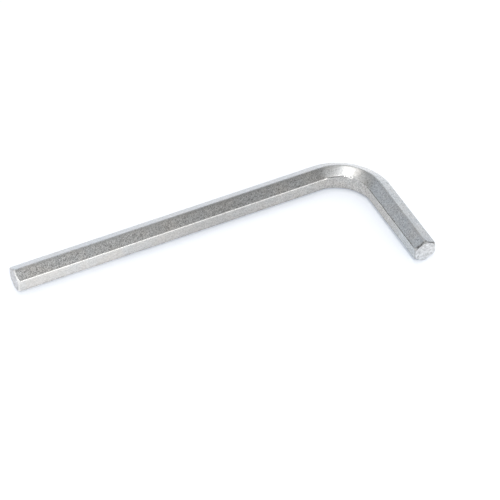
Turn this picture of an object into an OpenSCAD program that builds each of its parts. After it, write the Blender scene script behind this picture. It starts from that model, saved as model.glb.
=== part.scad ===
// A hex key of the bent kind: one hexagonal steel bar, turned to a chamfer at both ends
// and bent cold to a right angle. It lies flat on the lowest edge of its bar, as on a bench.
// +X runs along the long arm towards the bend, +Y along the short arm towards the bend, +Z is up.
// The origin is under the middle of the key.

/* [Bar] */
// Size of the key, across two opposite flats of the bar
across_flats = 5; // [4:0.5:8]
// Metal that is missing from each of the six edges, measured towards the middle of the bar
edge_blunt = 0.055; // [0.02:0.005:0.15]

/* [Arms] */
// Length of the long arm, from its tip to the outer side of the bend
long_arm = 85; // [45:1:180]
// Length of the short arm, from its tip to the outer side of the bend
short_arm = 33; // [26:1:80]

/* [Bend] */
// Radius of the bend, on the flat at its inner side
bend_radius = 7.5; // [5:0.5:12]
// Height that the squeezed metal adds at the inner corners, in the middle of the bend
bend_upset = 0.25; // [0.1:0.05:0.4]
// How far the squeezed flat swells inwards, in the middle of the bend
bend_swell = 0.12; // [0.08:0.02:0.3]

/* [Tips] */
// Length of the chamfer on the corners of the long tip
long_tip_chamfer = 0.55; // [0.3:0.05:1]
// Length of the chamfer on the corners of the short tip
short_tip_chamfer = 0.55; // [0.3:0.05:1]

/* [Hidden] */
$fn = 96;

// The bar: a hexagon that stands on a corner, so that two of its flats are upright
face_slope = tan(30);
corner_r = across_flats / 2 / cos(30);
side_w = corner_r;
bar_r = corner_r - edge_blunt;

// The bend: a quarter turn of the bar round an upright axis
centreline_r = bend_radius + across_flats / 2;
outer_r = centreline_r + across_flats / 2;

// The squeezed metal turns round an axis of its own, further from the bend, so that it rises
// out of the bar towards the middle of the bend and sinks back into it at both ends
upset_cover = 0.04;
upset_sink = 0.25;
upset_reach = 0.12 * across_flats;
upset_shift = (bend_swell + (bend_upset + upset_cover) / face_slope) / (1 - cos(45));

// The turned tips: a cone of 45 degrees, which starts this much wider than the bar
cone_over = 1;

// Height of the bar's sloping faces above its middle, at a distance from the middle
function face_height(distance) = corner_r - distance * face_slope;

// Section of the drawn bar: x points to the outer side of the bend, y up
module bar_section() {
    intersection() {
        rotate(90) circle(r = corner_r, $fn = 6);
        circle(r = bar_r);
    }
}

// Section of the squeezed metal: only its two inner corners stand out of the bar
module upset_section() {
    inner = [-across_flats / 2 - bend_swell, side_w / 2 + bend_upset];
    buried = [-upset_reach, face_height(upset_reach) - upset_sink];
    intersection() {
        polygon([[inner.x, -inner.y], [buried.x, -buried.y], buried, inner]);
        circle(r = norm(inner) - edge_blunt);
    }
}

// A straight stretch of bar along Z whose far end is turned to a chamfer
module straight_arm(length, chamfer) {
    cone_from = length - chamfer;
    intersection() {
        linear_extrude(height = length) bar_section();
        union() {
            cylinder(r = bar_r + cone_over, h = cone_from);
            translate([0, 0, cone_from - cone_over])
                cylinder(r1 = bar_r + cone_over, r2 = bar_r - chamfer, h = chamfer + cone_over);
        }
    }
}

// The quarter turn that joins the arms, round the Z axis, with the metal squeezed on its inner side
module bend() {
    rotate_extrude(angle = 90) translate([centreline_r, 0]) bar_section();
    rotate(45) translate([-upset_shift, 0]) rotate(-45)
        rotate_extrude(angle = 90) translate([centreline_r + upset_shift, 0]) upset_section();
}

module hex_key() {
    color([0.72, 0.73, 0.74])
    translate([long_arm / 2 - outer_r, short_arm / 2 - outer_r, bar_r]) {
        bend();
        translate([0, centreline_r, 0]) rotate([90, 0, -90])
            straight_arm(long_arm - outer_r, long_tip_chamfer);
        translate([centreline_r, 0, 0]) rotate([90, 0, 0])
            straight_arm(short_arm - outer_r, short_tip_chamfer);
    }
}

hex_key();
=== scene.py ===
# %% [markdown]
# A hex key, from bar to picture
#
# A hex key is one length of hexagonal steel bar. It is drawn through a die, chamfered at both ends,
# bent cold to a right angle and plated with satin nickel. This script dresses the packed model of
# such a key: it builds a finer mesh in the same place, gives it a plated finish, and lights it like
# a small thing photographed for a catalogue.

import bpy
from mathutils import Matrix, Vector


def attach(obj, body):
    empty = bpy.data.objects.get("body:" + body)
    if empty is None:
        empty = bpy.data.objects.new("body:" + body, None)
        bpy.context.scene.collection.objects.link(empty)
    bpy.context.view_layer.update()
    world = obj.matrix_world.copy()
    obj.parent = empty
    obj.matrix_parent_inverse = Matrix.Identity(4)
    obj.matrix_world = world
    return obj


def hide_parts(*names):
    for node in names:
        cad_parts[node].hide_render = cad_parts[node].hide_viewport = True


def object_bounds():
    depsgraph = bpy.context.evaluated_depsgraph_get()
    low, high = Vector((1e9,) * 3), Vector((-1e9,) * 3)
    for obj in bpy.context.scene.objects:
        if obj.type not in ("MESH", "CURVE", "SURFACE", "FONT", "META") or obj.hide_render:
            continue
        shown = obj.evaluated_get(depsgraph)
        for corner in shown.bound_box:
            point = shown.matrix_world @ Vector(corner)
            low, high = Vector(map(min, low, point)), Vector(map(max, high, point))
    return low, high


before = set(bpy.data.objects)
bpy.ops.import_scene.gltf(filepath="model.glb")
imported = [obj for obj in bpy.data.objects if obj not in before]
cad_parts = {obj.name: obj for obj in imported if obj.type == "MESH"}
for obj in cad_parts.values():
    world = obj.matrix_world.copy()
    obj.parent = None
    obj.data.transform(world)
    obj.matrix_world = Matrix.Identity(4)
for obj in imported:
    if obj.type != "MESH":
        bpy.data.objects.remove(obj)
cad_low, cad_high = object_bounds()
print("CAD box in mm:", [round(1000 * side, 3) for side in cad_high - cad_low])

# %% [markdown]
# The sizes of the bar
#
# The key lies flat, so its box gives most sizes at once: both arms, and the height over two rounded
# edges of the hexagon. Only two sizes are stated here as on a drawing: the 5 mm across the flats, by
# which such a key is sold, and the radius of the bend. The roundness of the edges isn't a choice any
# more, because it is what makes a 5 mm hexagon exactly as high as the box.

# %% Sizes worked out from the box
import math
from types import SimpleNamespace

import bpy
import numpy as np
from mathutils import Vector, noise

MM = 0.001
ACROSS_FLATS = 5 * MM
BEND_RADIUS = 7.5 * MM
# How many times further from the middle a sharp corner of a hexagon lies than its flats
CORNER_PER_FLAT = 1 / math.cos(math.radians(30))

LONG_ARM, SHORT_ARM, BAR_HEIGHT = cad_high - cad_low
BAR_R = BAR_HEIGHT / 2
FLAT_R = ACROSS_FLATS / 2
CORNER_R = FLAT_R * CORNER_PER_FLAT
EDGE_R = (CORNER_R - BAR_R) / (CORNER_PER_FLAT - 1)
CENTRELINE_R = BEND_RADIUS + FLAT_R
OUTER_R = CENTRELINE_R + FLAT_R
print("edges rounded to %.3f mm, bend %.1f mm inside" % (EDGE_R / MM, BEND_RADIUS / MM))

# %% [markdown]
# Rows of vertices along the bar
#
# A bevel modifier on a plain hexagon would round the edges too, but then no row of vertices could be
# told from the next. Here a formula places each row in the section of the bar: an arc of rows over
# each of the six corners, and a few rows across each flat, close together beside the arcs so that
# the flats shade flat. In the section, u is measured towards the outer side of the bend and z
# upwards. A row remembers which corner it follows and how far across the next flat it lies, because
# the bend will move the corners.

# %% The section of the bar
TOP, INNER_UPPER, INNER_LOWER, BOTTOM, OUTER_LOWER, OUTER_UPPER = range(6)
ARC_STEPS = 6
SHARES_OF_FLAT = (0.03, 0.12, 0.26, 0.42, 0.58, 0.74, 0.88, 0.97)
BESIDE_ARC, EDGE_BESIDE_ARC = 0.05, 0.5


def corner_angle(corner):
    """Angle in the section at which a corner lies, from the outer side over the top."""
    return math.radians(90 + 60 * corner)


def section_rows():
    """Place, outward direction, corner, share of the flat and edge mask of each row."""
    arc_centre = CORNER_R - EDGE_R * CORNER_PER_FLAT
    half_flat = arc_centre / 2
    rows = []
    for corner in range(6):
        at = corner_angle(corner)
        for step in range(ARC_STEPS + 1):
            turn = at + math.radians(60 * step / ARC_STEPS - 30)
            out_u, out_z = math.cos(turn), math.sin(turn)
            u = arc_centre * math.cos(at) + EDGE_R * out_u
            z = arc_centre * math.sin(at) + EDGE_R * out_z
            rows.append((u, z, out_u, out_z, corner, 0, 1))
        for share in SHARES_OF_FLAT:
            slide = half_flat * (2 * share - 1)
            u = FLAT_R * out_u - slide * out_z
            z = FLAT_R * out_z + slide * out_u
            beside = min(share, 1 - share) < BESIDE_ARC
            rows.append((u, z, out_u, out_z, corner, share, EDGE_BESIDE_ARC * beside))
    return np.array(rows)


rows = section_rows()
row_place, row_out = rows[:, 0:2], rows[:, 2:4]
row_corner, row_share, row_edge = rows[:, 4].astype(int), rows[:, 5], rows[:, 6]
row_r = np.hypot(*row_place.T)
row_steps = np.hypot(*(np.roll(row_place, -1, axis=0) - row_place).T)
girth = np.append(0, np.cumsum(row_steps))
row_girth = girth[:-1]
print(len(rows), "rows, girth %.2f mm" % (girth[-1] / MM))

# %% [markdown]
# The way along the bar
#
# The middle of the bar runs straight, turns a quarter circle and runs straight again. A curve object
# with the section as its bevel would give that too. A function is used instead, so that every vertex
# can ask where it is by its distance from the long tip alone. Straight arms and bend are one formula:
# the angle turned so far stops at 0 before the bend and at 90 degrees after it.

# %% The centre line
LONG_RUN = LONG_ARM - OUTER_R
BEND_RUN = CENTRELINE_R * math.pi / 2
SHORT_RUN = SHORT_ARM - OUTER_R
WHOLE_RUN = LONG_RUN + BEND_RUN + SHORT_RUN
bend_x, bend_y = cad_high.x - OUTER_R, cad_high.y - OUTER_R


def turned_at(run):
    """Angle through which the bar has turned, at a run from the long tip."""
    return np.clip((run - LONG_RUN) / CENTRELINE_R, 0, math.pi / 2)


def centreline(run):
    """Middle of the bar and direction to its outer side, at a run from the long tip."""
    side_x, side_y = np.sin(turned_at(run)), np.cos(turned_at(run))
    before = np.minimum(run - LONG_RUN, 0)
    beyond = np.maximum(run - LONG_RUN - BEND_RUN, 0)
    x = bend_x + CENTRELINE_R * side_x + before
    y = bend_y + CENTRELINE_R * side_y - beyond
    return x, y, side_x, side_y


def squeeze(turned):
    """How much of the bend's change of shape is present: 0 on the arms, 1 in the middle of the bend."""
    off_middle = turned - math.pi / 4
    share = 1 - (1 - np.cos(off_middle)) / (1 - math.cos(math.pi / 4))
    return share * share * (3 - 2 * share)


print("bar of %.1f mm before bending" % (WHOLE_RUN / MM))

# %% [markdown]
# The tips
#
# Before it is bent, each end is cut off and turned to a chamfer. The cone meets the corners of the
# hexagon first and the flats last, which gives the scalloped line that every such key shows. A plain
# bench key isn't turned with care: the cone lies off the middle, so the chamfer is broad on one side
# and nearly missing on the other, and the cut leans a little. A bevel modifier can't make that. So
# each row gets its own profile: along the bar, over a small rounding, down the cone, over a second
# rounding, and across the end.

# %% The profile of a tip
TIP_ZONE = 0.8 * MM
TIP_ROUNDING = 0.05 * MM
LEAST_CHAMFER = 0.1 * MM
LEAD_RINGS, ROUNDING_STEPS, CONE_STEPS, END_RINGS = 3, 4, 3, 12
# Radius of the end face, its shift to the outer side and up, and how far the cut leans inwards
LONG_TIP = (2.5 * MM, (0.25 * MM, -0.1 * MM), 0.02)
SHORT_TIP = (2.45 * MM, (0.1 * MM, -0.2 * MM), 0)


def rounded_corner(before, corner, after):
    """Points of a small curve that cuts a corner of the profile."""
    ways = [np.array(p) - corner for p in (before, after)]
    starts = [corner + way / np.hypot(*way) * TIP_ROUNDING for way in ways]
    steps = np.linspace(0, 1, ROUNDING_STEPS + 1)[:, None]
    return (1 - steps) ** 2 * starts[0] + 2 * steps * (1 - steps) * corner + steps**2 * starts[1]


def tip_profile(r, end_r):
    """Distance from the tip and from the middle of the bar, from the arm to the middle of the end."""
    cone_foot, rim = np.array([r - end_r, r]), np.array([0, end_r])
    foot = rounded_corner((TIP_ZONE, r), cone_foot, rim)
    edge = rounded_corner(cone_foot, rim, (0, 0))
    lead = np.linspace((TIP_ZONE, r), foot[0], LEAD_RINGS + 1)[:-1]
    cone = np.linspace(foot[-1], edge[0], CONE_STEPS + 1)[1:-1]
    end = np.linspace(edge[-1], (0, 0), END_RINGS + 1)[1:-1]
    return np.concatenate([lead, foot, cone, edge, end])


def tip(end_r, shift, lean):
    """Distances from the tip and from the middle of the bar, for each ring and each row."""
    row_way = row_place / row_r[:, None]
    end_rs = np.minimum(end_r + row_way @ shift, row_r - LEAST_CHAMFER)
    profiles = np.stack([tip_profile(*radii) for radii in zip(row_r, end_rs)], axis=1)
    depth, r = profiles[..., 0], profiles[..., 1]
    to_outer = r * row_way[:, 0]
    return depth + lean * (to_outer.max() - to_outer) * (1 - depth / TIP_ZONE), r


long_depth, long_r = tip(*LONG_TIP)
short_depth, short_r = tip(*SHORT_TIP)
tip_rings = len(long_depth)
# Number of rings from the tip to the rim of the end face, and to the foot of the chamfer
RINGS_TO_RIM = END_RINGS - 1 + ROUNDING_STEPS // 2
RINGS_TO_FOOT = tip_rings - LEAD_RINGS - ROUNDING_STEPS // 2
print(tip_rings, "rings on each tip,", RINGS_TO_FOOT - RINGS_TO_RIM, "of them on the chamfer")

# %% [markdown]
# Rings, from tip to tip
#
# All rings are put in one grid: the rings of the long tip in reverse, the even rings of the arms and
# the bend, and the rings of the short tip. A vertex is then a run along the bar and a scale of its
# row. In the bend the steel is squeezed on the inside and stretched on the outside, and the section
# shows it: the inner corners stand up and out, and the outer ones are pulled in. The tool that holds
# the key while it is bent also blunts the upper inner edge: its arc gets a larger radius there, and
# the arc's middle moves inwards just so far that the arc still runs smoothly into both flats. A
# simple deform modifier could bend the bar, but it would leave the section as it was drawn.

# %% The grid of rings
RING_STEP = 0.3 * MM
# How far each corner moves to the outer side and up in the middle of the bend
SHIFTS = np.zeros((6, 2))
SHIFTS[INNER_UPPER] = (-0.12 * MM, 0.25 * MM)
SHIFTS[INNER_LOWER] = (-0.12 * MM, -0.25 * MM)
SHIFTS[OUTER_UPPER] = (-0.14 * MM, -0.03 * MM)
SHIFTS[OUTER_LOWER] = (-0.14 * MM, 0.03 * MM)
BLUNTING = 0.09 * MM

body_steps = round((WHOLE_RUN - 2 * TIP_ZONE) / RING_STEP)
body_runs = np.linspace(TIP_ZONE, WHOLE_RUN - TIP_ZONE, body_steps + 1)[1:-1]
body = np.repeat(body_runs[:, None], len(rows), axis=1)
run = np.concatenate([long_depth[::-1], body, WHOLE_RUN - short_depth])
scale = np.concatenate([long_r[::-1] / row_r, np.ones_like(body), short_r / row_r])
rings, around = run.shape

squeezed = squeeze(turned_at(run))
next_corner = (row_corner + 1) % 6
row_shift = SHIFTS[row_corner] * (1 - row_share[:, None]) + SHIFTS[next_corner] * row_share[:, None]
blunt_angle = corner_angle(INNER_UPPER)
blunt_way = np.array([math.cos(blunt_angle), math.sin(blunt_angle)])
on_arc = (row_corner == INNER_UPPER) & (row_share == 0)
blunted = BLUNTING * (row_out - blunt_way * CORNER_PER_FLAT) * on_arc[:, None]
u = (row_place[:, 0] + squeezed * (row_shift[:, 0] + blunted[:, 0])) * scale
z = (row_place[:, 1] + squeezed * (row_shift[:, 1] + blunted[:, 1])) * scale
print(rings, "rings of", around, "vertices")

# %% [markdown]
# What drawing, bending and a tool box leave behind
#
# No drawn flat is a perfect mirror: it wavers by a few thousandths of a millimetre, which shows only
# in how reflections swim along it. The inner side of the bend is crinkled across, and a key that has
# been handled has a few tiny dents. All of it goes inwards, so the key never grows past its model.
# A displace modifier could do it too, but not limited to one side of the bend.

# %% Small departures from the ideal shape
WAVER, WAVER_LENGTH = 0.003 * MM, 7 * MM
CRINKLE, CRINKLE_LENGTH, CRINKLE_SLANT = 0.004 * MM, 1.1 * MM, 3 / MM
DENT_DEPTH = 0.03 * MM
# Run from the long tip, corner that the flat follows, share of the flat, and width of each dent
DENTS = (
    (10.4 * MM, TOP, 0.12, 0.35 * MM),
    (19.2 * MM, TOP, 0.1, 0.3 * MM),
    (32.8 * MM, TOP, 0.96, 0.3 * MM),
    (36.1 * MM, TOP, 0.6, 0.25 * MM),
    (95.3 * MM, OUTER_UPPER, 0.7, 0.3 * MM),
)


def girth_at(corner, share):
    """Distance around the bar of a place on the flat that follows a corner."""
    on_flat = row_corner == corner
    return np.interp(share, row_share[on_flat], row_girth[on_flat])


def sunk():
    """How far each vertex lies below the ideal surface. The tips, whose rows are scaled, have none."""
    depth = np.empty_like(run)
    for ring in range(rings):
        for row in range(around):
            at = Vector((run[ring, row], u[ring, row], z[ring, row]))
            depth[ring, row] = WAVER * (0.5 + 0.5 * noise.noise(at / WAVER_LENGTH))
    inner_side = np.clip(-row_out[:, 0], 0, 1) * squeezed
    ripple = 0.5 + 0.5 * np.sin(2 * math.pi * run / CRINKLE_LENGTH + CRINKLE_SLANT * row_girth)
    depth += CRINKLE * inner_side * ripple
    for at_run, corner, share, width in DENTS:
        away = np.hypot(run - at_run, row_girth - girth_at(corner, share))
        depth += DENT_DEPTH * np.exp(-((2 * away / width) ** 2))
    return depth * (scale == 1)


below = sunk()
u -= below * row_out[:, 0]
z -= below * row_out[:, 1]
print("deepest dent %.3f mm" % (below.max() / MM))

# %% [markdown]
# The cut ends
#
# The ends were cropped and never polished. Their surface is torn in short parallel scars, a few
# hundredths of a millimetre deep. A bump in the finish would be enough from afar, but the relief is
# real here, because the end of the short arm faces the camera. It fades out towards the rim.

# %% Relief of the two end faces
SCAR_DEPTH, SCAR_SPACING, SCAR_LENGTH = 0.05 * MM, 0.45 * MM, 2 * MM
# Direction of the scars on an end face, to the outer side and up
SCAR_SIDE, SCAR_UP = -0.6, 0.8
RIM_FADE_RINGS = 3
LONG_END_SEED, SHORT_END_SEED = 5, 9


def scars(side, height, seed):
    """Depth of the torn surface at a place on an end face."""
    across, along = SCAR_UP * side - SCAR_SIDE * height, SCAR_SIDE * side + SCAR_UP * height
    at = Vector((across / SCAR_SPACING, along / SCAR_LENGTH, seed))
    return SCAR_DEPTH * min(1, max(0, 0.5 + noise.noise(at)))


for from_rim in range(1, END_RINGS):
    fade = min(1, from_rim / RIM_FADE_RINGS)
    on_long_end = (END_RINGS - 1 - from_rim, 1, LONG_END_SEED)
    on_short_end = (from_rim - END_RINGS, -1, SHORT_END_SEED)
    for ring, inwards, seed in (on_long_end, on_short_end):
        for row in range(around):
            run[ring, row] += inwards * fade * scars(u[ring, row], z[ring, row], seed)
print(2 * (END_RINGS - 1) * around, "vertices of the end faces roughened")

# %% [markdown]
# The mesh
#
# The grid becomes a mesh with one quad between each four neighbours and a fan of triangles that
# closes the middle of each end. The section could also be extruded by hand, ring by ring. A mesh
# from a grid keeps its rows and rings in a known order instead, and the masks of the next step need
# that order. A UV map unrolls the bar like paper, in millimetres along and around, which is what the
# drawing lines follow.

# %% The key as a mesh
mid_x, mid_y, side_x, side_y = centreline(run)
points = np.stack([mid_x + u * side_x, mid_y + u * side_y, z + BAR_R], axis=-1).reshape(-1, 3)
middles = [points[:around].mean(0), points[-around:].mean(0)]
first_middle, last_middle = len(points), len(points) + 1

faces, unrolled = [], []
for ring in range(rings - 1):
    for row in range(around):
        corners = ((ring, row), (ring + 1, row), (ring + 1, row + 1), (ring, row + 1))
        faces.append([r * around + c % around for r, c in corners])
        unrolled += [(run[r, c % around] / MM, girth[c] / MM) for r, c in corners]
last_ring = (rings - 1) * around
for row in range(around):
    after = (row + 1) % around
    faces += [(row, after, first_middle), (last_ring + after, last_ring + row, last_middle)]
    unrolled += [(0, girth[row] / MM)] * 3 + [(WHOLE_RUN / MM, girth[row] / MM)] * 3

mesh = bpy.data.meshes.new("hex_key_body")
mesh.from_pydata(np.vstack([points, middles]).tolist(), [], faces)
mesh.uv_layers.new(name="unrolled").data.foreach_set("uv", np.array(unrolled).ravel())
mesh.shade_smooth()
mesh.validate()
key = bpy.data.objects.new("hex_key_body", mesh)
bpy.context.scene.collection.objects.link(key)
print(len(mesh.vertices), "vertices,", len(mesh.polygons), "faces")

# %% [markdown]
# Where the finish differs
#
# One material finishes the edges, the bend, the chamfers and the ends all differently, because the
# mesh tells it where they are. That could be painted on by hand. Here each mask is worked out from
# the grid instead, as one number for every vertex, so it follows when a size changes. The frost of
# the plating is strong on the upper inner flat of the long arm, weaker on the other flats, and
# weaker beside the top ridge, where the top flat is also darker. Painted shade darkens the top and
# inner flats along the middle of the long arm. In the bend, painted shade darkens the top flat beside
# the highlight, and a painted highlight lightens the outer flat and a little of the inner one. The
# bending tool has left fine ribs across the flats from the bend on. The chamfer of the long tip is
# bare steel, most of all on top, where its light tint is also a painted highlight, and its end face
# is painted darker than the other one, as painted shade. The short tip's chamfer has ragged dark
# marks, and painted shade darkens the edge near the table.

# %% Frost, ribs, and painted light and shade along the bar
# Strength of the frost at these runs from the long tip, by the corner that the flat follows
FROST_RUNS = (0, 30 * MM, 68 * MM, 75 * MM, 84 * MM, 91 * MM)
FROST_BY_FLAT = {
    TOP: (1.02, 0.82, 0.85, 0.45, 0.5, 0.58),
    INNER_UPPER: (0.22, 0.3, 0.44, 0.6, 0.7, 0.7),
    OUTER_UPPER: (0.24, 0.24, 0.25, 0.4, 0.5, 0.5),
}
FROST_ELSEWHERE = (0.5, 0.5, 0.5, 0.5, 0.5, 0.5)
# Share of the flat beside the ridge with less frost and a darker shade, what frost is left, and how it
# weakens in the bend
RIDGE_SHARE, FROST_BY_RIDGE = 0.25, 0.3
RIDGE_RUNS, RIDGE_STRENGTHS = (66 * MM, 76 * MM), (1, 0.6)
# Middle and reach of the painted shade along the long arm, of the painted light and shade in the
# bend, and of the bending tool's ribs
ARM_SHADE_AT, ARM_SHADE_REACH = 49 * MM, 12 * MM
BEND_LIGHT_AT, BEND_LIGHT_REACH = LONG_RUN + 0.5 * BEND_RUN, 8 * MM
RIBS_AT, RIBS_REACH = LONG_RUN + 0.8 * BEND_RUN, 8 * MM
# How much lighter or darker the painted light and shade make each flat, and which flats have ribs
ARM_SHADE_BY_FLAT = {TOP: -0.115, INNER_UPPER: -0.06}
BEND_LIGHT_BY_FLAT = {TOP: -0.09, INNER_UPPER: 0.03, OUTER_UPPER: 0.1}
RIBS_BY_FLAT = {INNER_UPPER: 1, OUTER_UPPER: 1}


def around_run(at, reach):
    """A mask that is 1 at one run along the bar and fades out on both sides."""
    return np.exp(-(((run - at) / reach) ** 2))


def by_flat(values):
    """One value for each row, from a table of flats. The flats that aren't in it get 0."""
    return np.array([values.get(corner, 0) for corner in row_corner])


def frost_along():
    """Strength of the frost on every vertex, each flat with its own values along the bar."""
    frost = np.empty_like(run)
    for row, corner in enumerate(row_corner):
        strengths = FROST_BY_FLAT.get(corner, FROST_ELSEWHERE)
        frost[:, row] = np.interp(run[:, row], FROST_RUNS, strengths)
    return frost


by_ridge = (1 - row_share / RIDGE_SHARE).clip(0, 1) * (row_corner == TOP)
by_ridge = by_ridge * np.interp(run, RIDGE_RUNS, RIDGE_STRENGTHS)
# Painted shade: the top and inner flats darker along the middle of the long arm
held = around_run(ARM_SHADE_AT, ARM_SHADE_REACH) * by_flat(ARM_SHADE_BY_FLAT)
# Painted light and shade in the bend: the top flat darker beside the highlight, the outer flat lighter
# as a painted highlight
bend_light_and_shade = around_run(BEND_LIGHT_AT, BEND_LIGHT_REACH) * by_flat(BEND_LIGHT_BY_FLAT)
masks = {
    "frost": frost_along() * (1 - (1 - FROST_BY_RIDGE) * by_ridge),
    "by_ridge": by_ridge,
    "tone": held + bend_light_and_shade,
    "ribbed": around_run(RIBS_AT, RIBS_REACH) * by_flat(RIBS_BY_FLAT),
    "squeezed": squeezed,
    "edge": row_edge * ~np.isin(row_corner, (TOP, INNER_LOWER)),
}
print("frost from %.2f to %.2f" % (masks["frost"].min(), masks["frost"].max()))

# %% Tips, dark marks, and painted shade at the edge
# How bare the chamfer of the long tip is away from the top, where it is all bare steel and lighter as
# a painted highlight
BARE_AND_LIGHT_AROUND = 0.35
# Dark marks on the chamfer of the short tip, painted shade at the edge near the table, and where that
# shade begins
DARK_MARKS_ON_CHAMFER = {TOP: 0.65, OUTER_UPPER: 0.65}
SHADE_AT_EDGE, EDGE_SHADE_FROM = 0.27, 0.8

from_long_tip = np.arange(rings)[:, None]
from_short_tip = from_long_tip[::-1]
long_end, short_end = from_long_tip < RINGS_TO_RIM, from_short_tip < RINGS_TO_RIM
long_chamfer = (from_long_tip < RINGS_TO_FOOT) & ~long_end
short_chamfer = (from_short_tip < RINGS_TO_FOOT) & ~short_end
# Painted shade along the lower edge of the inner flat, where it meets the table
by_table = (row_share - EDGE_SHADE_FROM).clip(0) / (1 - EDGE_SHADE_FROM) * (row_corner == INNER_UPPER)
by_table = np.where((row_corner == INNER_LOWER) & (row_share == 0), 1, by_table)
masks |= {
    "chamfer": long_chamfer | short_chamfer,
    "cut_end": long_end | short_end,
    "long_end": long_end,
    "bare": long_chamfer * np.where(row_corner == TOP, 1, BARE_AND_LIGHT_AROUND),
    "dirty": short_chamfer * by_flat(DARK_MARKS_ON_CHAMFER) + SHADE_AT_EDGE * by_table,
}
# Values in the middle of the long and of the short end face
ON_MIDDLES = {"cut_end": (1, 1), "long_end": (1, 0)}
for name, grid in masks.items():
    values = np.append(np.broadcast_to(grid, run.shape).ravel(), ON_MIDDLES.get(name, (0, 0)))
    mesh.attributes.new(name, "FLOAT", "POINT").data.foreach_set("value", values.astype(float))
print("masks on the mesh:", ", ".join(masks))

# %% [markdown]
# Arithmetic that builds nodes
#
# A finish is worked out from numbers that change over the surface, and in Blender each sum of two
# such numbers is a Math node. Wiring them by hand hides the formula. This small class stands for one
# socket, and adding or multiplying it adds the node, so the finish can be written as it is thought.

# %% Sockets that can be added and multiplied


class Wire:
    """The output of a node. Sums and products of wires are Math nodes in the same tree."""

    def __init__(self, bench, socket):
        self.bench, self.socket = bench, socket

    def math(self, operation, *values):
        """One Math node on these values."""
        sockets = dict(enumerate(values))
        return self.bench.node("ShaderNodeMath", {"operation": operation}, sockets)

    def __add__(self, other):
        return self.math("ADD", self, other)

    def __sub__(self, other):
        return self.math("SUBTRACT", self, other)

    def __rsub__(self, other):
        return self.math("SUBTRACT", other, self)

    def __mul__(self, other):
        return self.math("MULTIPLY", self, other)

    __radd__, __rmul__ = __add__, __mul__

    def held(self):
        """The same value, kept between 0 and 1."""
        return self.bench.node("ShaderNodeClamp", {}, {"Value": self})


print("wires add, subtract, multiply and clamp")

# %% [markdown]
# A bench for finishes
#
# A finish needs other nodes too: mixes, vectors, noises. They all come from one method that takes
# the type of a node, its settings, and the values or wires of its sockets. The other methods only
# name what is asked for most often, so that a finish reads in words.

# %% Nodes by one method


class Bench:
    """A node tree on which finishes are put together."""

    def __init__(self, owner):
        owner.use_nodes = True
        self.tree = owner.node_tree
        self.tree.nodes.clear()

    def node(self, kind, settings, sockets, out=0):
        """A new node as a wire: its settings are set first, then the values or wires of its sockets."""
        made = self.tree.nodes.new(kind)
        for name, value in settings.items():
            setattr(made, name, value)
        for name, value in sockets.items():
            if isinstance(value, Wire):
                self.tree.links.new(value.socket, made.inputs[name])
            else:
                made.inputs[name].default_value = value
        return Wire(self, made.outputs[out]) if made.outputs else None

    def mix(self, share, first, second):
        """A colour between two colours."""
        settings = {"data_type": "RGBA", "clamp_factor": True}
        return self.node("ShaderNodeMix", settings, {0: share, 6: first, 7: second}, out=2)

    def vector(self, operation, first, second, out=0):
        """One Vector Math node on two vectors."""
        settings = {"operation": operation}
        return self.node("ShaderNodeVectorMath", settings, {0: first, 1: second}, out)

    def darkened(self, colour, share):
        """A colour with all its parts multiplied by one number."""
        sockets = {0: colour, "Scale": share}
        return self.node("ShaderNodeVectorMath", {"operation": "SCALE"}, sockets)

    def between(self, value, none, full):
        """A share that goes smoothly from 0, where the value is none, to 1, where it is full."""
        sockets = {"Value": value, "From Min": none, "From Max": full}
        return self.node("ShaderNodeMapRange", {"interpolation_type": "SMOOTHSTEP"}, sockets)

    def mask(self, name):
        """A number that the mesh keeps for every vertex."""
        settings = {"attribute_name": name}
        return self.node("ShaderNodeAttribute", settings, {}, out="Fac")

    def ray(self, kind):
        """1 for rays of one kind, 0 for all others."""
        return self.node("ShaderNodeLightPath", {}, {}, out="Is %s Ray" % kind)

    def cloud(self, at, lumps, detail=2, roughness=0.5):
        """Soft noise between 0 and 1, with so many lumps for each unit of the three coordinates."""
        at = self.vector("MULTIPLY", at, lumps)
        sockets = {"Vector": at, "Scale": 1, "Detail": detail, "Roughness": roughness}
        return self.node("ShaderNodeTexNoise", {}, sockets)


print("a bench has", ", ".join(name for name in vars(Bench) if not name.startswith("_")))

# %% [markdown]
# Satin nickel on steel
#
# The plating copies the steel under it and adds a fine frost of its own. Seen close there are four
# scales: drawing lines that run the length of the bar, flecks of frost a few tenths of a millimetre
# wide, clouds of slightly warmer and cooler metal, and the rubbed edges, which are smoother and
# lighter. A picture of scratched metal could be wrapped round the bar, but it would blur up close.
# Noises don't, and they are kept apart, so that colour, roughness and bump can each use them with a
# strength of their own.

# %% Patterns of the finish
# Lumps for each metre in all directions
GRAIN_LUMPS, CLOUD_LUMPS, TORN_LUMPS = 3 * (2400,), 3 * (300,), 3 * (1800,)
# Lumps for each millimetre along and around the bar
LINE_LUMPS, GROOVE_LUMPS, RIB_LUMPS = (0.03, 8, 1), (14, 0.1, 1), (3, 0.12, 1)


def patterns(bench):
    """The noises of the finish. Lines, grooves and ribs follow the bar on its UV map."""
    place = bench.node("ShaderNodeTexCoord", {}, {}, out="Object")
    unrolled = bench.node("ShaderNodeUVMap", {"uv_map": "unrolled"}, {})
    return SimpleNamespace(
        lines=bench.cloud(unrolled, LINE_LUMPS, detail=3),
        grooves=bench.cloud(unrolled, GROOVE_LUMPS),
        ribs=bench.cloud(unrolled, RIB_LUMPS, detail=1),
        grain=bench.cloud(place, GRAIN_LUMPS, detail=3, roughness=0.6),
        clouds=bench.cloud(place, CLOUD_LUMPS),
        torn=bench.cloud(place, TORN_LUMPS, detail=4, roughness=0.65),
    )


print("flecks about %.1f mm wide" % (1 / GRAIN_LUMPS[0] / MM))

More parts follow.
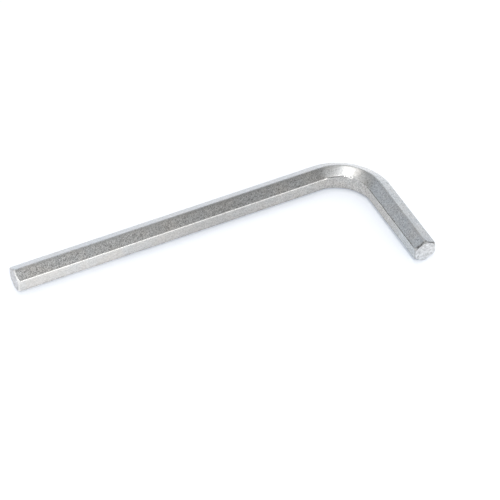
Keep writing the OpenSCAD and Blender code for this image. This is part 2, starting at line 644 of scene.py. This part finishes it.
# %% [markdown]
# Colour of the metal
#
# The tint comes first: plated, rubbed, turned or cropped, and darker on the long end face as painted
# shade. Then one number, about 1, lightens or darkens it. A fleck lies where a noise comes near its
# middle value, which gives crumbs and short lines instead of round spots, and the dark marks and the
# painted shade at the edge have the ragged outline of the torn ends. On real plating the grain is
# relief that glints, and a strong bump could imitate that. Here it is mostly painted lighter and
# darker, so that it looks the same from all sides and under any lamp.

# %% Tints and shades
WARM, COOL, RUBBED = (0.535, 0.525, 0.51, 1), (0.51, 0.52, 0.525, 1), (0.60, 0.60, 0.59, 1)
# The last tint darkens the long end face: painted shade
TURNED, CROPPED, LONG_END_SHADE = (0.85, 0.85, 0.84, 1), (0.71, 0.72, 0.73, 1), (0.47, 0.48, 0.50, 1)
# Noise value where the tint starts to cool, how fast it cools, and how far the edges are rubbed
COOL_FROM, COOL_RISE, EDGE_RUBBED = 0.3, 2.5, 0.5
# The value about which each noise swings, how narrowly flecks keep to it, and the neutral fleck
MIDDLE, FLECK_SHARPNESS, FLECK_NEUTRAL = 0.5, 250, 0.3
# Noise value where the dark marks and the painted edge shade start, and how fast they thicken
SPOTS_FROM, SPOTS_RISE = 0.42, 5
# How strongly each pattern lightens or darkens the metal
FLECK_SHADE, LINE_SHADE, RIDGE_SHADE, RIB_SHADE, TORN_SHADE = 0.92, 0.15, 0.12, 0.7, 1.6


def metal_colour(bench, where, pattern):
    """Tint of the metal, lightened and darkened by its patterns."""
    tint = bench.mix((pattern.clouds - COOL_FROM) * COOL_RISE, WARM, COOL)
    tint = bench.mix(where.edge * EDGE_RUBBED, tint, RUBBED)
    # Bare turned steel on the long tip's chamfer, whose lighter tint on top is also a painted highlight
    tint = bench.mix(where.bare, tint, TURNED)
    # The long end face takes the darker tint, as painted shade
    tint = bench.mix(where.long_end, bench.mix(where.cut_end, tint, CROPPED), LONG_END_SHADE)

    off_middle = pattern.grain - MIDDLE
    flecks = (1 - FLECK_SHARPNESS * off_middle * off_middle).held()
    dark_spots = (SPOTS_RISE * (pattern.torn - SPOTS_FROM)).held()
    shade = 1 + FLECK_SHADE * where.plated * where.frost * (flecks - FLECK_NEUTRAL)
    # The top flat is made darker beside the ridge and over its rounding
    shade = shade - LINE_SHADE * (pattern.lines - MIDDLE) - RIDGE_SHADE * where.by_ridge
    # Adds the painted shade of the long arm and the painted light and shade of the bend
    shade = shade + where.tone - RIB_SHADE * where.ribbed * (pattern.ribs - MIDDLE)
    # Dark marks on the short tip's chamfer, and painted shade along the edge near the table
    shade = shade - where.dirty * dark_spots - TORN_SHADE * where.cut_end * (pattern.torn - MIDDLE)
    return bench.darkened(tint, shade)


print("plating between", WARM[:3], "and", COOL[:3])

# %% [markdown]
# Roughness and relief of the metal
#
# Satin metal blurs what it mirrors, here by a little more on the chamfers and the cut ends and by
# less along the rubbed edges. What is too fine for the mesh, such as grain, drawing lines and
# turning grooves, is a bump. Its height is worked out in millimetres, so it stays as deep as it is
# on a real bar.

# %% Roughness and bump
ROUGHNESS = 0.285
# How strongly each pattern roughens the metal
GRAIN_ROUGH, LINE_ROUGH, TORN_ROUGH = 0.2, 0.1, 0.2
# How much smoother or rougher each place is
EDGE_SMOOTH, BEND_ROUGH, CHAMFER_ROUGH, END_ROUGH = 0.1, 0.02, 0.05, 0.12
# Height of each pattern in millimetres
GRAIN_HIGH, LINE_HIGH, RIB_HIGH, GROOVE_HIGH, TORN_HIGH = 0.005, 0.002, 0.003, 0.004, 0.03


def metal_roughness(where, pattern):
    """Roughness from 0 to 1."""
    rough = ROUGHNESS + GRAIN_ROUGH * where.frost * (pattern.grain - MIDDLE)
    rough = rough + LINE_ROUGH * (pattern.lines - MIDDLE) - EDGE_SMOOTH * where.edge
    rough = rough + BEND_ROUGH * where.squeezed + CHAMFER_ROUGH * where.chamfer
    rough = rough + where.cut_end * (END_ROUGH + TORN_ROUGH * (pattern.torn - MIDDLE))
    return rough.held()


def metal_height(where, pattern):
    """Height for the bump, in millimetres."""
    drawn = GRAIN_HIGH * where.frost * pattern.grain + LINE_HIGH * pattern.lines
    plated = where.plated * (drawn + RIB_HIGH * where.ribbed * pattern.ribs)
    turned = GROOVE_HIGH * where.chamfer * pattern.grooves
    return plated + turned + TORN_HIGH * where.cut_end * pattern.torn


print("bumps of %.3f mm on the flats and %.3f mm on the ends" % (GRAIN_HIGH, TORN_HIGH))

# %% [markdown]
# The finish put together
#
# One shader takes it all. The bare chamfer is a special case: its turning grooves scatter the light
# almost like paper, so it gets a low metallic value instead of a high roughness. A second material
# could do that, but its border would be hard. The finished mesh rides on the packed body and takes
# the place of its solid.

# %% The finish of the key
# How much of the metallic value bare steel loses
BARE_SCATTER = 0.75


def satin_nickel():
    finish = bpy.data.materials.new("satin_nickel")
    bench = Bench(finish)
    where = SimpleNamespace(**{name: bench.mask(name) for name in masks})
    where.plated = (1 - where.chamfer).held() * (1 - where.cut_end).held()
    pattern = patterns(bench)
    relief = {"Strength": 1, "Distance": MM, "Height": metal_height(where, pattern)}
    looks = {
        "Base Color": metal_colour(bench, where, pattern),
        "Metallic": 1 - BARE_SCATTER * where.bare,
        "Roughness": metal_roughness(where, pattern),
        "Normal": bench.node("ShaderNodeBump", {}, relief, out="Normal"),
    }
    steel = bench.node("ShaderNodeBsdfPrincipled", {}, looks)
    bench.node("ShaderNodeOutputMaterial", {}, {"Surface": steel})
    return finish


key.data.materials.append(satin_nickel())
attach(key, "root")
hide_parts("hex_key")
print("the key has", len(key.data.materials[0].node_tree.nodes), "nodes of finish")

# %% [markdown]
# The table
#
# The key lies on a white table that runs out of the picture. The table is lit like paper, which
# gives most of its white and keeps the soft shadow under the bar. The last step to white could come
# from a stronger lamp, but that would bleach the key too. It is a faint emission instead, which only
# camera, glossy and transmission rays see. Reflections get next to none of it, because the metal has
# to show how dark the table is close to the bar. Only in two places they see more of it, as if cards
# lay there: a large white one in front of the long tip, and a small cool one in the elbow of the key.

# %% A white table that keeps a shadow
TABLE_SIZE = 6.0
TABLE_WHITE, TABLE_ROUGHNESS = (0.80, 0.80, 0.80, 1), 0.35
NO_GLOW, SEEN_GLOW, MIRRORED_GLOW = (0, 0, 0, 1), (0.13, 0.16, 0.21, 1), (0, 0, 0.01, 1)
# Colour, middle, and inner and outer radius of each card
CARDS = (
    ((0.40, 0.40, 0.41, 1), (-50 * MM, -25 * MM, 0), 32 * MM, 66 * MM),
    ((0, 0.06, 0.13, 1), (32 * MM, -13 * MM, 0), 3 * MM, 14 * MM),
)


def white_table():
    finish = bpy.data.materials.new("white_table")
    bench = Bench(finish)
    spot = bench.node("ShaderNodeNewGeometry", {}, {}, out="Position")
    mirrored = MIRRORED_GLOW
    for colour, middle, inner, outer in CARDS:
        away = bench.vector("DISTANCE", spot, middle, out="Value")
        mirrored = bench.mix(bench.between(away, outer, inner), mirrored, colour)
    glow = bench.mix((bench.ray("Glossy") + bench.ray("Transmission")).held(), NO_GLOW, mirrored)
    glow = bench.mix(bench.ray("Camera"), glow, SEEN_GLOW)
    looks = {
        "Base Color": TABLE_WHITE,
        "Roughness": TABLE_ROUGHNESS,
        "Emission Color": glow,
        "Emission Strength": 1,
    }
    paper = bench.node("ShaderNodeBsdfPrincipled", {}, looks)
    bench.node("ShaderNodeOutputMaterial", {}, {"Surface": paper})
    return finish


bpy.ops.mesh.primitive_plane_add(size=TABLE_SIZE)
table = bpy.context.active_object
table.name = "table"
table.data.materials.append(white_table())
print("table", TABLE_SIZE, "m square")

# %% [markdown]
# The studio
#
# Metal has no colour of its own to speak of: it shows the room. A photographer who shoots a small
# shiny tool builds that room from a few things: a grey ceiling so that the top flats aren't white,
# bright low panels that draw thin light lines along the edges, and darker gaps between the panels
# that give the edges their dark lines. The world is built of just those, as soft patches round a
# direction, so that it needs no picture of a room. Each patch covers the ones before it.

# %% Ceiling, panels and gaps
CEILING, HORIZON, BACKDROP = (0.86, 0.86, 0.855, 1), (0.60, 0.62, 0.65, 1), (1, 1, 1, 1)
# Sine of the elevation at which the ceiling has its full colour
CEILING_FROM = 0.85
# Azimuth, elevation, inner and outer radius in degrees, colour and share of each soft patch
PATCHES = (
    (20, 16, 10, 20, (1.6, 1.6, 1.6, 1), 1.0),
    (6, 16, 5, 12, (5.0, 5.0, 4.9, 1), 1.0),
    (95, 38, 16, 32, (1.9, 1.9, 1.95, 1), 1.0),
    (-19, 24, 14, 26, (0.08, 0.08, 0.08, 1), 1.0),
    (-57, 20, 5, 11, (2.0, 2.0, 2.0, 1), 1.0),
    (-112, 20, 10, 18, (0.08, 0.08, 0.08, 1), 1.0),
    (-140, 12, 14, 26, (0.15, 0.15, 0.16, 1), 1.0),
    (-100, 25, 8, 13, (0.8, 0.8, 0.8, 1), 1.0),
    (-128, 55, 8, 20, (0.38, 0.38, 0.37, 1), 1.0),
    (-150, 44, 6, 16, (0.69, 0.74, 0.81, 1), 1.0),
    (63, 14, 8, 20, (0.10, 0.10, 0.10, 1), 1.0),
    (28, 36, 3, 7, (1.6, 1.6, 1.6, 1), 1.0),
    (120, 10, 14, 30, (0.88, 0.93, 1.0, 1), 1.0),
    (158, 36, 8, 18, (0.2, 0.2, 0.22, 1), 0.9),
    (170, 6, 4, 18, (1.8, 2.0, 2.3, 1), 1.0),
    (146, 3, 6, 15, (3.6, 3.8, 4.1, 1), 1.0),
    (135, 5, 3, 8, (1.6, 1.7, 1.8, 1), 1.0),
    (70, 52, 4, 30, (0.2, 0.2, 0.2, 1), 1.0),
)


def direction(azimuth, elevation):
    """Unit vector. Azimuth 0 is on the side of the viewer, along -Y, and 90 is along +X."""
    a, e = math.radians(azimuth), math.radians(elevation)
    return Vector((math.sin(a) * math.cos(e), -math.cos(a) * math.cos(e), math.sin(e)))


def studio():
    world = bpy.data.worlds.new("studio")
    bench = Bench(world)
    look = bench.node("ShaderNodeTexCoord", {}, {}, out="Generated")
    height = bench.vector("DOT_PRODUCT", look, (0, 0, 1), out="Value")
    room = bench.mix(bench.between(height, 0, CEILING_FROM), HORIZON, CEILING)
    for azimuth, elevation, inner, outer, colour, share in PATCHES:
        near = bench.vector("DOT_PRODUCT", look, direction(azimuth, elevation), out="Value")
        far_cosine, near_cosine = math.cos(math.radians(outer)), math.cos(math.radians(inner))
        room = bench.mix(bench.between(near, far_cosine, near_cosine) * share, room, colour)
    seen = bench.mix(bench.ray("Camera"), room, BACKDROP)
    light = bench.node("ShaderNodeBackground", {}, {"Color": seen, "Strength": 1})
    bench.node("ShaderNodeOutputWorld", {}, {"Surface": light})
    return world


bpy.context.scene.world = studio()
print(len(PATCHES), "patches,", len(bpy.context.scene.world.node_tree.nodes), "nodes in the studio")

# %% [markdown]
# Two lamps
#
# A small round lamp hangs almost over the bend. It gives the picture its only strong highlight, where
# the top flat turns through the angle that mirrors the lamp. A larger one stands on the camera's
# side, half way up, and lights the table from there, so that the bar covers most of its own shadow.
# That one is kept out of all reflections. Square lamps would do too, but a square highlight has
# corners.

# %% Round lamps
def round_lamp(name, lights, azimuth, elevation, away, size, power, mirrored=True):
    """A disk lamp that faces a point on the table from a direction."""
    data = bpy.data.lights.new(name, "AREA")
    data.shape = "DISK"
    data.size = size
    data.energy = power
    lamp = bpy.data.objects.new(name, data)
    lamp.location = Vector(lights) + away * direction(azimuth, elevation)
    lamp.rotation_mode = "QUATERNION"
    lamp.rotation_quaternion = direction(azimuth, elevation).to_track_quat("Z", "Y")
    lamp.visible_glossy = mirrored
    bpy.context.scene.collection.objects.link(lamp)
    print(name, "at", [round(c, 3) for c in lamp.location])


over_bend = (bend_x, bend_y, 0)
round_lamp("overhead", over_bend, azimuth=-120, elevation=81.5, away=0.6, size=0.08, power=0.24)
round_lamp("table", (0, 0, 0), azimuth=-22, elevation=50, away=0.9, size=0.3, power=4.8, mirrored=False)

# %% [markdown]
# The camera
#
# The key is seen from its open side and from above, at half a right angle, through a long lens from
# under half a metre. The further the camera stands back, the more alike the near and the far end
# look, and this distance is the one at which both arms have the lengths that the picture shows. A
# camera without perspective would make the two ends equally large.

# %% A long lens
CAMERA_AZIMUTH, CAMERA_ELEVATION = -25.855, 45.147
CAMERA_AWAY, CAMERA_LENS, CAMERA_SENSOR = 451.394 * MM, 150, 36
NEAREST_SEEN = 10 * MM
AIMED_AT = Vector((7.568 * MM, 2.735 * MM, 0))

camera_data = bpy.data.cameras.new("camera")
camera_data.lens = CAMERA_LENS
camera_data.sensor_width = CAMERA_SENSOR
camera_data.clip_start = NEAREST_SEEN
camera = bpy.data.objects.new("camera", camera_data)
back = direction(CAMERA_AZIMUTH, CAMERA_ELEVATION)
camera.location = AIMED_AT + CAMERA_AWAY * back
camera.rotation_mode = "QUATERNION"
camera.rotation_quaternion = back.to_track_quat("Z", "Y")
bpy.context.scene.collection.objects.link(camera)
bpy.context.scene.camera = camera
bpy.context.scene.view_settings.view_transform = "Standard"
print("camera at", [round(c, 3) for c in camera.location])

# %% [markdown]
